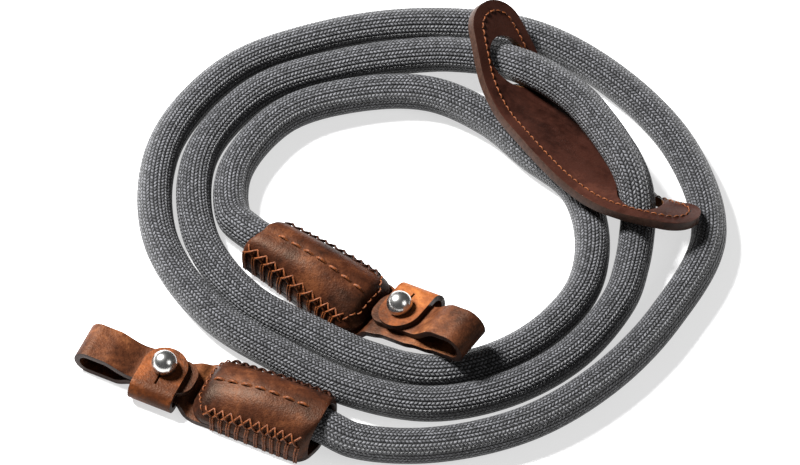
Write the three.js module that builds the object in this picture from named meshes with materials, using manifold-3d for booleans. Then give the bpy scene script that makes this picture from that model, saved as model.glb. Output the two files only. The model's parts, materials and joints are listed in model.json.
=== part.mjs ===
// A coiled camera strap: one long round rope, a leather end at each end of it, and a leaf-shaped
// neck pad that the rope is threaded through. It lies on a flat surface, wound in three turns.
// Millimetres, +Z up, +X to the right of the viewer, +Y away from the viewer, floor at z = 0.
import * as THREE from 'three';
import { mergeVertices } from 'three/addons/utils/BufferGeometryUtils.js';
import Module from 'manifold-3d';

const wasm = await Module();
wasm.setup();

// Driving dimensions

const gap = 0.3;                    // air between two pieces that touch
const ropeDiameter = 10;
const ropeSides = 10;
const ropeSteps = 80;

const strapThickness = 1.7;         // the strip that makes the base, the loop and the tongue
const loopStripWidth = 11.2;
const baseWidth = 20.8;             // the same strip where it lies under the housing
const keeperThickness = 1.5;
const keeperWidth = 13;
const housingWidth = 20.8;
const housingWall = 1.25;
const housingRim = 2.2;             // the flat border that is stitched to the base
const housingMouthHeight = 13.5;    // above the base's underside
const housingLoopEndHeight = 9.4;
const studHeadDiameter = 7.3;
const studNeckDiameter = 2.4;
const studSink = 0.45;              // the ball's centre above its seat, as a share of its radius

const padThickness = 2.6;
const padWidth = 26;
const padTipRadius = 9;
const padHoleRadius = 6.4;
const padHoleInset = 17.6;          // from each tip to the centre of its hole

// The coil's centre, and the shift that brings the middle of the whole thing's box to x = y = 0
const coilCentre = { x: 8.7, y: -4.7 };
const layoutShift = { x: -0.4, y: 3.3 };

// Materials, one for each mesh

const finish = (color, roughness, metalness = 0) =>
  () => new THREE.MeshStandardMaterial({ color, roughness, metalness, side: THREE.FrontSide });

const ropeGrey = finish(0x55565c, 0.85);
const pullUpBrown = finish(0x70432a, 0.5);
const keeperTan = finish(0x8a4a22, 0.45);
const padBrown = finish(0x4a2318, 0.4);
const polishedNickel = finish(0xc9cbcc, 0.15, 1);

// Small helpers

const degrees = THREE.MathUtils.degToRad;
const vector = (x, y, z) => new THREE.Vector3(x, y, z);

function named(name, geometry, material) {
  const mesh = new THREE.Mesh(geometry, material());
  mesh.name = name;
  return mesh;
}

// A closed triangle mesh from plain corners and faces, turned so that its faces point out
function closedGeometry(corners, faces) {
  const points = corners.map((corner) => new THREE.Vector3(...corner));
  let volume = 0;
  for (const [a, b, c] of faces) volume += points[a].dot(points[b].clone().cross(points[c]));
  const outward = volume < 0 ? faces.map(([a, b, c]) => [a, c, b]) : faces;
  const geometry = new THREE.BufferGeometry();
  geometry.setAttribute('position', new THREE.Float32BufferAttribute(corners.flat(), 3));
  geometry.setIndex(outward.flat());
  return geometry;
}

// Rings of equal length, joined to a closed skin, with a fan over the first and the last ring
function loftRings(rings) {
  const count = rings[0].length;
  const corners = rings.flat();
  const faces = [];
  for (let r = 0; r + 1 < rings.length; r += 1) {
    for (let i = 0; i < count; i += 1) {
      const next = (i + 1) % count;
      const a = r * count + i;
      const b = r * count + next;
      faces.push([a, b, b + count], [a, b + count, a + count]);
    }
  }
  const last = (rings.length - 1) * count;
  for (let i = 1; i + 1 < count; i += 1) {
    faces.push([0, i + 1, i], [last, last + i, last + i + 1]);
  }
  return closedGeometry(corners, faces);
}

function toSolid(geometry) {
  const bare = geometry.clone();
  bare.deleteAttribute('normal');
  bare.deleteAttribute('uv');
  const merged = mergeVertices(bare, 1e-4);
  return new wasm.Manifold(new wasm.Mesh({
    numProp: 3,
    vertProperties: new Float32Array(merged.attributes.position.array),
    triVerts: new Uint32Array(merged.index.array),
  }));
}

function toGeometry(solid) {
  const mesh = solid.getMesh();
  const geometry = new THREE.BufferGeometry();
  geometry.setAttribute('position', new THREE.BufferAttribute(mesh.vertProperties, 3));
  geometry.setIndex(new THREE.BufferAttribute(mesh.triVerts, 1));
  return geometry;
}

function cut(geometry, ...cutters) {
  let solid = toSolid(geometry);
  for (const cutter of cutters) solid = solid.subtract(toSolid(cutter));
  return toGeometry(solid);
}

// A round cutter of a given direction, centred on a point
function punch(centre, direction, radius, length) {
  const geometry = new THREE.CylinderGeometry(radius, radius, length, 24);
  geometry.applyQuaternion(new THREE.Quaternion().setFromUnitVectors(vector(0, 1, 0), direction));
  return geometry.translate(centre.x, centre.y, centre.z);
}

// The rope

// Each row is one bearing from the coil's centre, and the distance of the three turns there
const turns = [
  { bearing: 270.0, outer: 70.5, middle: 56.8, inner: 46.3 },
  { bearing: 292.5, outer: 68.7, middle: 56.1, inner: 45.6 },
  { bearing: 315.0, outer: 68.2, middle: 56.2, inner: 45.5 },
  { bearing: 337.5, outer: 71.0, middle: 57.0, inner: 46.1 },
  { bearing: 0.0, outer: 78.0, inner: 45.2 },
  { bearing: 22.5, outer: 76.8, inner: 44.0 },
  { bearing: 45.0, outer: 75.0, inner: 40.3 },
  { bearing: 67.5, outer: 75.2, inner: 43.6 },
  { bearing: 90.0, outer: 73.6, inner: 49.2 },
  { bearing: 112.5, outer: 75.2, middle: 64.1, inner: 53.2 },
  { bearing: 135.0, outer: 80.4, middle: 69.6, inner: 58.7 },
  { bearing: 157.5, outer: 81.4, middle: 70.5, inner: 59.6 },
  { bearing: 180.0, outer: 76.3, middle: 64.8 },
  { bearing: 202.5, outer: 66.9, middle: 55.6 },
  { bearing: 225.0, outer: 58.3, middle: 47.0 },
  { bearing: 247.5, outer: 56.5, middle: 45.2 },
];

// Where the rope is lifted off the floor: out of the front housing, over the pad, into the second
const outOfFrontHousing = [[-33.6, -64.2, 7.0], [-27.3, -67.2, 7.0], [-20.9, -70.2, 6.9], [-12.5, -74.1, 5.6]];
const overThePad = [
  [65.0, -14.5, 5.1], [66.4, -6.2, 6.7], [66.9, 0.2, 10.0], [66.0, 6.8, 13.4], [63.8, 12.8, 15.1],
  [60.6, 19.5, 15.1], [56.6, 27.0, 14.6], [50.6, 36.2, 13.7], [42.4, 43.8, 13.2], [33.8, 49.3, 12.3],
  [27.0, 53.0, 10.3], [18.8, 55.7, 8.4], [8.7, 57.4, 6.4],
];
const intoSecondHousing = [[-46.9, 2.2, 5.3], [-43.2, -3.4, 6.6], [-37.6, -8.3, 7.3], [-29.8, -14.0, 7.7], [-26.2, -16.6, 7.9]];

function onTheCoil(bearing, distance) {
  const angle = degrees(bearing);
  return [
    coilCentre.x + distance * Math.cos(angle),
    coilCentre.y + distance * Math.sin(angle),
    ropeDiameter / 2,
  ];
}

function ropeRoute() {
  const route = [...outOfFrontHousing];
  for (const turn of ['outer', 'middle', 'inner']) {
    for (const row of turns) {
      if (turn === 'middle' && row.bearing === 0) route.push(...overThePad);
      if (row[turn]) route.push(onTheCoil(row.bearing, row[turn]));
    }
  }
  route.push(...intoSecondHousing);
  return route.map(([x, y, z]) => vector(x, y, z));
}

const ropeLine = new THREE.CatmullRomCurve3(ropeRoute(), false, 'centripetal');

function roundRod(line, radius, sides, steps) {
  const section = new THREE.Shape();
  for (let i = 0; i < sides; i += 1) {
    const angle = ((i + 0.5) / sides) * 2 * Math.PI;
    const x = radius * Math.cos(angle);
    const y = radius * Math.sin(angle);
    if (i === 0) section.moveTo(x, y);
    else section.lineTo(x, y);
  }
  section.closePath();
  return new THREE.ExtrudeGeometry(section, { steps, extrudePath: line, bevelEnabled: false });
}

function makeRope() {
  return named('rope', roundRod(ropeLine, ropeDiameter / 2, ropeSides, ropeSteps), ropeGrey);
}

// The neck pad: a leaf of thick leather, given by the middle line of its face. Each row has a point
// of that line, the bearing of the way across it to the far side, how far that side drops below
// level, and how much the leather is arched over its half width, in degrees.
const padRows = [
  { x: 25.1, y: 65.0, z: 22.1, across: 36, drop: 23, arch: 0 },
  { x: 29.2, y: 54.9, z: 16.7, across: 36, drop: 23, arch: 0 },
  { x: 32.5, y: 46.6, z: 12.2, across: 36, drop: 23, arch: 0 },
  { x: 37.2, y: 38.1, z: 10.0, across: 36, drop: 23, arch: 0 },
  { x: 43.1, y: 29.8, z: 10.3, across: 36, drop: 23, arch: 0 },
  { x: 49.0, y: 21.5, z: 10.7, across: 36, drop: 23, arch: 0 },
  { x: 55.1, y: 13.7, z: 11.0, across: 37, drop: 23, arch: 2 },
  { x: 61.5, y: 6.9, z: 11.9, across: 40, drop: 26, arch: 10 },
  { x: 67.8, y: 2.4, z: 13.4, across: 48, drop: 32, arch: 24 },
  { x: 75.6, y: -1.7, z: 14.5, across: 58, drop: 32, arch: 14 },
  { x: 83.7, y: -4.7, z: 14.4, across: 65, drop: 28, arch: 2 },
];
const padStations = 34;
const padColumns = 8;

const padLine = new THREE.CatmullRomCurve3(padRows.map((row) => vector(row.x, row.y, row.z)));
padLine.arcLengthDivisions = 400;

// A leaf outline: two round tips joined by one long arc on each side
function leafHalfWidth(along, length) {
  const reach = length / 2 - padTipRadius;
  const half = padWidth / 2;
  const sideRadius = (reach ** 2 + half ** 2 - padTipRadius ** 2) / (2 * (half - padTipRadius));
  const tangent = sideRadius * (reach / (sideRadius - padTipRadius));
  const u = Math.abs(along - length / 2);
  if (u <= tangent) return Math.sqrt(sideRadius ** 2 - u ** 2) - (sideRadius - half);
  return Math.sqrt(Math.max(padTipRadius ** 2 - (u - reach) ** 2, 1));
}

function padFrame(fraction) {
  const t = padLine.getUtoTmapping(fraction);
  const place = t * (padRows.length - 1);
  const lower = Math.min(Math.floor(place), padRows.length - 2);
  const between = (key) => THREE.MathUtils.lerp(padRows[lower][key], padRows[lower + 1][key], place - lower);
  const bearing = degrees(between('across'));
  const drop = degrees(between('drop'));
  const level = Math.cos(drop);
  const across = vector(Math.cos(bearing) * level, Math.sin(bearing) * level, -Math.sin(drop));
  const tangent = padLine.getTangent(t);
  return { point: padLine.getPoint(t), across, up: tangent.cross(across).normalize(), arch: degrees(between('arch')) };
}

// A point of the pad: side runs from -1 at the near edge to 1 at the far edge, depth is below the face
function padPoint(fraction, side, depth) {
  const length = padLine.getLength();
  const frame = padFrame(fraction);
  const half = leafHalfWidth(fraction * length, length);
  const turn = frame.arch * side;
  const flat = Math.abs(frame.arch) < 1e-3;
  const sideways = flat ? half * side : (half / frame.arch) * Math.sin(turn);
  const sag = flat ? 0 : (half / frame.arch) * (1 - Math.cos(turn));
  const normal = frame.up.clone().multiplyScalar(Math.cos(turn)).addScaledVector(frame.across, Math.sin(turn));
  return frame.point.clone()
    .addScaledVector(frame.across, sideways)
    .addScaledVector(frame.up, -sag)
    .addScaledVector(normal, -depth);
}

function makeNeckPad() {
  const rings = [];
  for (let s = 0; s <= padStations; s += 1) {
    const fraction = (1 - Math.cos((s / padStations) * Math.PI)) / 2;
    const ring = [];
    for (let c = 0; c <= padColumns; c += 1) {
      ring.push(padPoint(fraction, (2 * c) / padColumns - 1, 0).toArray());
    }
    for (let c = padColumns; c >= 0; c -= 1) {
      ring.push(padPoint(fraction, (2 * c) / padColumns - 1, padThickness).toArray());
    }
    rings.push(ring);
  }
  const length = padLine.getLength();
  const holes = [padHoleInset / length, 1 - padHoleInset / length].map((fraction) => {
    const centre = padPoint(fraction, 0, padThickness / 2);
    return punch(centre, ropeDirectionNear(centre), padHoleRadius, 6 * padThickness);
  });
  // The rope stretches the holes lengthwise and presses a shallow groove into the leather
  const groove = roundRod(ropeLine, ropeDiameter / 2 + 1.2 * gap, ropeSides, ropeSteps);
  return named('neck_pad', cut(loftRings(rings), ...holes, groove), padBrown);
}

// The way that the rope runs where it passes closest to a point
function ropeDirectionNear(point) {
  let best = { distance: Infinity, t: 0 };
  for (let t = 0; t <= 1; t += 0.001) {
    const distance = ropeLine.getPoint(t).distanceTo(point);
    if (distance < best.distance) best = { distance, t };
  }
  return ropeLine.getTangent(best.t);
}

// A leather end. Its own frame has the stud at the origin, +X towards the loop, +Y across and
// the underside of the strip at z = 0.

const loopReach = 25;               // from the stud to the outside of the loop
const housingStart = -11.2;          // the housing's loop-side end
const housingEnd = -48.5;           // the mouth that the rope comes out of
const tongueEnd = -9.4;
const underKeeper = keeperThickness + gap;                    // how far the keeper lifts the base
const tongueHeight = underKeeper + strapThickness + gap;      // underside of the tongue at the stud
const keeperTop = tongueHeight + strapThickness + gap;        // underside of the keeper's upper leg
const studSeat = keeperTop + keeperThickness + gap;

// A strip of leather swept along a path of { a, h } points, with a half width at each of them
function ribbon(path, thickness, columns = 1, bend = (corner) => corner) {
  const rings = path.map((point, i) => {
    const before = path[Math.max(i - 1, 0)];
    const after = path[Math.min(i + 1, path.length - 1)];
    const length = Math.hypot(after.a - before.a, after.h - before.h);
    const normal = { a: -(after.h - before.h) / length, h: (after.a - before.a) / length };
    const half = thickness / 2;
    const corner = (side, face) => bend([
      point.a + face * half * normal.a,
      side * point.width + (point.aside ?? 0),
      point.h + face * half * normal.h,
    ]);
    const across = (face) => Array.from({ length: columns + 1 }, (_, c) => corner((2 * c) / columns - 1, face));
    return [...across(-1), ...across(1).reverse()];
  });
  return loftRings(rings);
}

// The half width at a distance from a rounded end
function roundedWidth(width, radius, distance) {
  if (distance >= radius) return width;
  return width - radius + Math.sqrt(Math.max(radius ** 2 - (radius - distance) ** 2, 0));
}

function smooth(low, high, value) {
  const t = THREE.MathUtils.clamp((value - low) / (high - low), 0, 1);
  return t * t * (3 - 2 * t);
}

// The near corner of the housing's mouth reaches back along the rope, and may lift off the floor.
// A base is bent by an angle there, so that its corner moves along the bent part.
function pullMouth(strapEnd, [a, side, h], bend = 0) {
  const along = housingStart + (a - housingStart) / Math.cos(bend);
  const share = smooth(housingEnd + 24, housingEnd, along) * smooth(1, 10, side * strapEnd.near);
  const { mouthReach, mouthLift } = strapEnd;
  return [
    a + share * (mouthLift * Math.sin(bend) - mouthReach * Math.cos(bend)),
    side,
    h + share * (mouthLift * Math.cos(bend) + mouthReach * Math.sin(bend)),
  ];
}

// The base, the loop and the tongue are one strip. The base widens under the housing, bends down
// to it by the housing's pitch, and passes over the keeper's hidden lower leg.
function makeEndStrap(name, end) {
  const half = strapThickness / 2;
  const path = [];
  const baseCorner = 3.5;
  const cornerStations = [0, 0.4, 1.2, 2.2, baseCorner].map((distance) => housingEnd + distance);
  const stations = [-39, -32, -25, -18, -12.5, -10.8, -9.8, -8.6, -7.5, -6.9, -3, 0, 3, 6.9, 7.5, 9, 11, 13];
  for (const a of [...cornerStations, ...stations]) {
    const distance = a - housingEnd;
    const narrow = smooth(housingStart - 3, -2, a);
    const wide = THREE.MathUtils.lerp(baseWidth / 2, loopStripWidth / 2, narrow);
    const rise = underKeeper * (smooth(-10.8, -7.5, a) - smooth(7.5, 12.5, a));
    const bend = a < housingStart ? degrees(end.housingPitch) : 0;
    const inward = a - housingStart;
    const underHousing = housingHalfWidth(end, distance / (housingStart - housingEnd));
    const extra = (end.nearExtra / 2) * (smooth(-11, -4, a) - smooth(5, 15, a));
    path.push({
      a: housingStart + inward * Math.cos(bend) + half * Math.sin(bend),
      h: half * Math.cos(bend) + rise - inward * Math.sin(bend),
      width: roundedWidth(Math.min(wide, underHousing), baseCorner, distance) + extra,
      aside: end.housingAside * (1 - smooth(-17, -4, a)) + end.loopAside * smooth(4, 13, a) + end.near * extra,
    });
  }
  const radius = end.loopHeight / 2 - half;
  const turnSteps = 12;
  for (let i = 0; i <= turnSteps; i += 1) {
    const angle = -Math.PI / 2 + (i / turnSteps) * (Math.PI * 1.06);
    path.push({
      a: loopReach - half - radius + radius * Math.cos(angle),
      h: half + radius + radius * Math.sin(angle),
      width: loopStripWidth / 2,
      aside: end.loopAside,
    });
  }
  const tongue = tongueHeight + half;
  const top = end.loopHeight - half;
  const tongueCorner = 4.5;
  for (const a of [15.5, 13, 10.5, 8, 5.5, 3, 0, -3, -4.9, -6.4, -7.8, -8.8, tongueEnd]) {
    const slope = smooth(6.9, 16.5, a);
    const width = roundedWidth(loopStripWidth / 2, tongueCorner, a - tongueEnd);
    path.push({ a, h: THREE.MathUtils.lerp(tongue, top, slope), width: Math.max(width, 1), aside: end.loopAside * smooth(4, 13, a) });
  }
  const neckHole = punch(vector(0, 0, underKeeper + 2), vector(0, 0, 1), studNeckDiameter / 2 + gap, 12);
  const footSocket = punch(vector(0, 0, underKeeper - 0.2), vector(0, 0, 1), footRadius + gap, 2 * (footHeight + gap + 0.2));
  const pulled = (corner) => pullMouth(end, corner, degrees(end.housingPitch));
  return named(name, cut(ribbon(path, strapThickness, 4, pulled), neckHole, footSocket), pullUpBrown);
}

// The stud: a polished ball on a neck, with a flat foot sunk in the underside of the base
const footRadius = 2.6;
const footHeight = 0.6;

function makeStud(name) {
  const head = studHeadDiameter / 2;
  const neck = studNeckDiameter / 2;
  const ballCentre = studSeat + head * studSink;
  const profile = [
    [0, underKeeper], [footRadius, underKeeper], [footRadius, underKeeper + footHeight],
    [neck, underKeeper + footHeight], [neck, studSeat],
  ];
  for (let step = 0; step < 10; step += 1) {
    const angle = THREE.MathUtils.lerp(-Math.asin(studSink), Math.PI / 2, step / 10);
    profile.push([head * Math.cos(angle), ballCentre + head * Math.sin(angle)]);
  }
  profile.push([0, ballCentre + head]);
  const points = profile.map(([r, z]) => new THREE.Vector2(r, z));
  return named(name, new THREE.LatheGeometry(points, 20).rotateX(Math.PI / 2), polishedNickel);
}

// The keeper: a short strap folded round the base and the tongue, with a round end that buttons
// over the stud through a keyhole. It folds on the end's +Y side.
function makeKeeper(name) {
  const half = keeperThickness / 2;
  const low = half;
  const high = keeperTop + half;
  const bend = (high - low) / 2;
  const foldCentre = 6.8;                     // across, from the stud to the fold's centre
  const tip = -6.6;                           // across, from the stud to the round end
  const roundRadius = keeperWidth / 2 - 0.1;
  const path = [];
  for (const a of [tip, -6.1, -5.2, -4, -2.4, -0.4, 3]) {
    path.push({ a, h: high, width: Math.max(roundedWidth(keeperWidth / 2, roundRadius, a - tip), 1) });
  }
  const foldSteps = 8;
  for (let i = 0; i <= foldSteps; i += 1) {
    const angle = Math.PI / 2 - (i / foldSteps) * Math.PI;
    path.push({ a: foldCentre + bend * Math.cos(angle), h: (low + high) / 2 + bend * Math.sin(angle), width: keeperWidth / 2 });
  }
  path.push({ a: tip + 1, h: low, width: keeperWidth / 2 });
  const seat = studSeat - 1;
  const eye = punch(vector(0, 0, seat), vector(0, 0, 1), studNeckDiameter / 2 + gap, 4);
  const slit = new THREE.BoxGeometry(4.6, 0.5, 4).translate(3.2, 0, seat);
  const geometry = cut(ribbon(path, keeperThickness), eye, slit);
  return named(name, geometry.rotateZ(Math.PI / 2), keeperTan);
}

// Half the housing's width, from its mouth at 0 to its loop-side end at 1
function housingHalfWidth(strapEnd, fraction) {
  return THREE.MathUtils.lerp(strapEnd.mouthWidth, housingWidth, smooth(0, 0.8, fraction)) / 2;
}

// The housing: a pillow of moulded leather over the end of the rope, open at its mouth. Its rim
// lies on the base, and it is hollow inside.
function pillow(strapEnd, { start, end, inset, corner, floor, mouthTop, loopTop, shoulder, lip }) {
  const rings = [];
  const columns = 14;
  const length = start - end;
  const stations = [0, 0.02, 0.05, 0.1, 0.18, 0.3, 0.45, 0.6, 0.72, 0.82, 0.89, 0.94, 0.975, 0.993, 1];
  for (const fraction of stations) {
    const a = end + fraction * length;
    const half = housingHalfWidth(strapEnd, fraction) - inset;
    const width = Math.min(roundedWidth(half, corner, (1 - fraction) * length), roundedWidth(half, corner / 2, fraction * length));
    const fullnessAcross = THREE.MathUtils.lerp(strapEnd.mouthFullness, 1.3, smooth(0.1, 0.7, fraction));
    const fall = Math.min(1, ((1 - fraction) * length) / shoulder);
    const fullness = (1 - (1 - fall) ** 2.4) ** (1 / 2.4);
    const crown = THREE.MathUtils.lerp(mouthTop, loopTop, smooth(0.42, 1, fraction));
    const top = floor + lip + (crown - floor - lip) * fullness;
    const ring = [];
    for (let c = 0; c <= columns; c += 1) {
      const side = -Math.cos((c / columns) * Math.PI);
      const arch = (1 - Math.abs(side) ** 2.5) ** (1 / fullnessAcross);
      ring.push([a, strapEnd.housingAside - side * width, floor + lip + (top - floor - lip) * arch]);
    }
    ring.push([a, strapEnd.housingAside - width, floor], [a, strapEnd.housingAside + width, floor]);
    rings.push(ring.map((corner) => pullMouth(strapEnd, corner)));
  }
  return loftRings(rings.reverse());
}

function makeHousing(name, strapEnd) {
  const floor = strapThickness + gap;
  const outer = pillow(strapEnd, {
    start: housingStart, end: housingEnd, inset: 0, corner: 5, floor,
    mouthTop: housingMouthHeight, loopTop: housingLoopEndHeight, shoulder: 8, lip: 1.5,
  });
  const inner = pillow(strapEnd, {
    start: housingStart - housingRim, end: housingEnd - 4, inset: housingWall, corner: 3,
    floor: floor - 1, mouthTop: housingMouthHeight - housingWall, loopTop: housingLoopEndHeight - housingWall,
    shoulder: 7, lip: 1.2,
  });
  return named(name, cut(outer, inner), pullUpBrown);
}

// Where the two ends lie: the stud's foot point, the bearing of the loop, the pitch of the strip
// at the stud, and how much less the housing is pitched. near is the side that the viewer sees, and
// nearExtra is how much wider the base is there, beside the keeper.
const ends = [
  {
    prefix: 'front', foot: [-65.4, -50.7, 0], bearing: 155, pitch: 0, housingPitch: 0, loopHeight: 8.6,
    housingAside: -1.2, loopAside: 0.7, mouthWidth: housingWidth, mouthFullness: 1.6,
    near: 1, mouthReach: -2, mouthLift: 0, nearExtra: 0,
  },
  {
    prefix: 'second', foot: [2.2, -35.9, 5.6], bearing: -36, pitch: 18, housingPitch: 15.1, loopHeight: 9.8,
    housingAside: -0.9, loopAside: 0, mouthWidth: 16.6, mouthFullness: 1.9,
    near: -1, mouthReach: 4, mouthLift: 2.2, nearExtra: 2.4,
  },
];

function makeEnd(end) {
  const group = new THREE.Group();
  group.position.set(...end.foot);
  group.rotation.set(0, -degrees(end.pitch), degrees(end.bearing), 'ZYX');
  group.add(makeEndStrap(`${end.prefix}_end_strap`, end));
  group.add(makeKeeper(`${end.prefix}_keeper_tab`));
  group.add(makeStud(`${end.prefix}_stud`));
  const hinge = new THREE.Group();
  hinge.position.set(housingStart, 0, 0);
  hinge.rotation.y = degrees(end.housingPitch);
  const housing = makeHousing(`${end.prefix}_housing`, end);
  housing.geometry.translate(-housingStart, 0, 0);
  hinge.add(housing);
  group.add(hinge);
  return group;
}

const strap = new THREE.Group();
strap.position.set(layoutShift.x, layoutShift.y, 0);
strap.add(makeRope(), makeNeckPad(), ...ends.map(makeEnd));

export default strap;
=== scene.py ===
# %% [markdown]
# The object is a camera strap: one long round rope, coiled in three turns, with a leather end
# stitched over each end of it and a leaf-shaped neck pad threaded on it. The frame holds its plain
# solids at their real size. This script dresses each of them with a finer mesh and a procedural
# finish. All the sizes below are in millimetres, and they become metres when a mesh is made.

# %% Load the frame
import bmesh
import bpy
import json
import math
from mathutils import Matrix, Vector

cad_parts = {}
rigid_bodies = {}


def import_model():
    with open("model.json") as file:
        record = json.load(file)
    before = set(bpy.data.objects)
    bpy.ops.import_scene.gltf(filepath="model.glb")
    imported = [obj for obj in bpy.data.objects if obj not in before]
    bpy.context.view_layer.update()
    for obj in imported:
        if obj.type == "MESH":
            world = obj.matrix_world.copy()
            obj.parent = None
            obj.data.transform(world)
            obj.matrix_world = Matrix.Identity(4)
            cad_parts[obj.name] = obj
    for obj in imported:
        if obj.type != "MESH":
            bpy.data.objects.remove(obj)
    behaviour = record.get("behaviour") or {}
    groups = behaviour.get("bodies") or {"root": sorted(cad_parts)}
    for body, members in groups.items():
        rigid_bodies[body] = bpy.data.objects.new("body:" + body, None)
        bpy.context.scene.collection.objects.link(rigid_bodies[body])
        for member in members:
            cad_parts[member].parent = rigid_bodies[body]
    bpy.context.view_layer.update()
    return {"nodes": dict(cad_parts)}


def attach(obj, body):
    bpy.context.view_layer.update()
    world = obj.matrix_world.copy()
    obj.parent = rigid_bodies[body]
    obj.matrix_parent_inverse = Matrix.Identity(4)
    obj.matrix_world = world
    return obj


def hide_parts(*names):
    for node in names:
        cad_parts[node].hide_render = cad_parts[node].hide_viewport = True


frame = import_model()
MM = 0.001
print("nodes in the frame:", ", ".join(sorted(frame["nodes"])))

# %% [markdown]
# The camera comes first, because every other choice is judged through it. The photograph looks
# down at 55 degrees from the front, through a long lens: the rope is as thick at the far side of
# the coil as at the near side. A long lens far away gives that. A short lens close by would swell
# the near end.

# %% Camera
LAYOUT_SHIFT = Vector((-0.4, 3.3, 0.0))   # from the layout's own origin to the frame's
CAMERA_DISTANCE = 2500.0
CAMERA_ELEVATION = math.radians(55)
PIXELS_PER_MM = 3.55                      # at the aimed point, in a picture 800 pixels wide
PICTURE_WIDTH = 800
SENSOR_WIDTH = 36.0

camera_data = bpy.data.cameras.new("camera")
camera_data.sensor_width = SENSOR_WIDTH
camera_data.sensor_fit = "HORIZONTAL"
camera_data.lens = PIXELS_PER_MM * CAMERA_DISTANCE * SENSOR_WIDTH / PICTURE_WIDTH
camera_data.clip_end = 20.0
camera = bpy.data.objects.new("camera", camera_data)
bpy.context.scene.collection.objects.link(camera)
bpy.context.scene.camera = camera
toward_camera = Vector((0, -math.cos(CAMERA_ELEVATION), math.sin(CAMERA_ELEVATION)))
camera.location = (LAYOUT_SHIFT + toward_camera * CAMERA_DISTANCE) * MM
camera.rotation_euler = toward_camera.to_track_quat("Z", "Y").to_euler()
print("lens", round(camera_data.lens, 1), "mm at", CAMERA_DISTANCE * MM, "m")

# %% [markdown]
# A studio photograph of a small thing has a big soft lamp and a white sweep. The light here comes
# from the left and a little from behind, and it is strong, since the right side of the rope is
# nearly black, so the key lamp stands there. A wide weak lamp from the right and a dim world fill
# the shadows. The lamps' places and sizes are in metres.

# %% Floor and light
def area_light(name, place, size, power):
    data = bpy.data.lights.new(name, "AREA")
    data.shape = "DISK"
    data.size = size
    data.energy = power
    lamp = bpy.data.objects.new(name, data)
    bpy.context.scene.collection.objects.link(lamp)
    lamp.location = place
    lamp.rotation_euler = Vector(place).to_track_quat("Z", "Y").to_euler()


area_light("key_lamp", place=(-0.74, 0.50, 1.05), size=0.40, power=112.0)
area_light("fill_lamp", place=(0.9, -0.5, 0.9), size=0.8, power=4.0)

world = bpy.data.worlds.new("studio")
world.use_nodes = True
world.node_tree.nodes["Background"].inputs["Color"].default_value = (1.0, 1.0, 1.0, 1)
world.node_tree.nodes["Background"].inputs["Strength"].default_value = 0.11
bpy.context.scene.world = world
bpy.context.scene.view_settings.view_transform = "Standard"

FLOOR_HALF = 3000.0
FLOOR_DROP = 0.1            # below the coil, so that the two faces don't fight
floor_mesh = bpy.data.meshes.new("floor")
floor_corners = [
    (x * FLOOR_HALF * MM, y * FLOOR_HALF * MM, -FLOOR_DROP * MM)
    for x, y in ((-1, -1), (1, -1), (1, 1), (-1, 1))
]
floor_mesh.from_pydata(floor_corners, [], [(0, 1, 2, 3)])
floor = bpy.data.objects.new("floor", floor_mesh)
bpy.context.scene.collection.objects.link(floor)

# %% [markdown]
# Every finish here is a small network of shader nodes. These helpers keep each network short: one
# adds a node with its settings, one does a sum, one blends two colours, and one starts a material
# and gives back its main shader.

# %% Shader helpers
def start_material(name):
    material = bpy.data.materials.new(name)
    material.use_nodes = True
    tree = material.node_tree
    return material, tree, tree.nodes["Principled BSDF"]


def add_node(tree, kind, inputs=None, **settings):
    made = tree.nodes.new(kind)
    for key, value in settings.items():
        setattr(made, key, value)
    for key, value in (inputs or {}).items():
        if isinstance(value, bpy.types.NodeSocket):
            tree.links.new(value, made.inputs[key])
        else:
            made.inputs[key].default_value = value
    return made


def calc(tree, operation, *values):
    return add_node(tree, "ShaderNodeMath", dict(enumerate(values)), operation=operation).outputs[0]


def blend(tree, share, low, high):
    made = add_node(tree, "ShaderNodeMix", data_type="RGBA", blend_type="MIX")
    for index, value in ((0, share), (6, low), (7, high)):
        if isinstance(value, bpy.types.NodeSocket):
            tree.links.new(value, made.inputs[index])
        else:
            made.inputs[index].default_value = value
    return made.outputs[2]


def ramp(tree, value, low, high):
    made = add_node(tree, "ShaderNodeMapRange", {"Value": value, "From Min": low, "From Max": high})
    made.interpolation_type = "SMOOTHSTEP"
    return made.outputs["Result"]


def noise(tree, scale, detail=4.0, roughness=0.55, distortion=0.0):
    # scale: cells to the metre
    place = add_node(tree, "ShaderNodeTexCoord").outputs["Object"]
    made = add_node(tree, "ShaderNodeTexNoise", {"Vector": place, "Scale": scale, "Detail": detail})
    made.inputs["Roughness"].default_value = roughness
    made.inputs["Distortion"].default_value = distortion
    return made.outputs[0]


def bump(tree, shader, height, strength, distance, below=None):
    made = add_node(tree, "ShaderNodeBump", {"Height": height, "Strength": strength, "Distance": distance})
    if below is not None:
        tree.links.new(below, made.inputs["Normal"])
    tree.links.new(made.outputs[0], shader.inputs["Normal"])
    return made.outputs[0]


# %% [markdown]
# The floor is plain and pale, and nearly matt. It glows a little in the middle, as a light table
# does, so that the shadows on it stay faint, as they are in the photograph.

# %% Floor finish
floor_finish, floor_tree, floor_shader = start_material("white_sweep")
floor_shader.inputs["Base Color"].default_value = (0.42, 0.42, 0.42, 1)
floor_shader.inputs["Roughness"].default_value = 0.85
floor_place = add_node(floor_tree, "ShaderNodeTexCoord").outputs["Object"]
from_middle = add_node(floor_tree, "ShaderNodeVectorMath", {0: floor_place}, operation="LENGTH")
outward = ramp(floor_tree, from_middle.outputs["Value"], 0.30, 0.90)
floor_glow = blend(floor_tree, outward, (1.0, 1.0, 1.0, 1), (0.25, 0.25, 0.26, 1))
floor_tree.links.new(floor_glow, floor_shader.inputs["Emission Color"])
floor_shader.inputs["Emission Strength"].default_value = 0.62
floor_mesh.materials.append(floor_finish)

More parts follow.
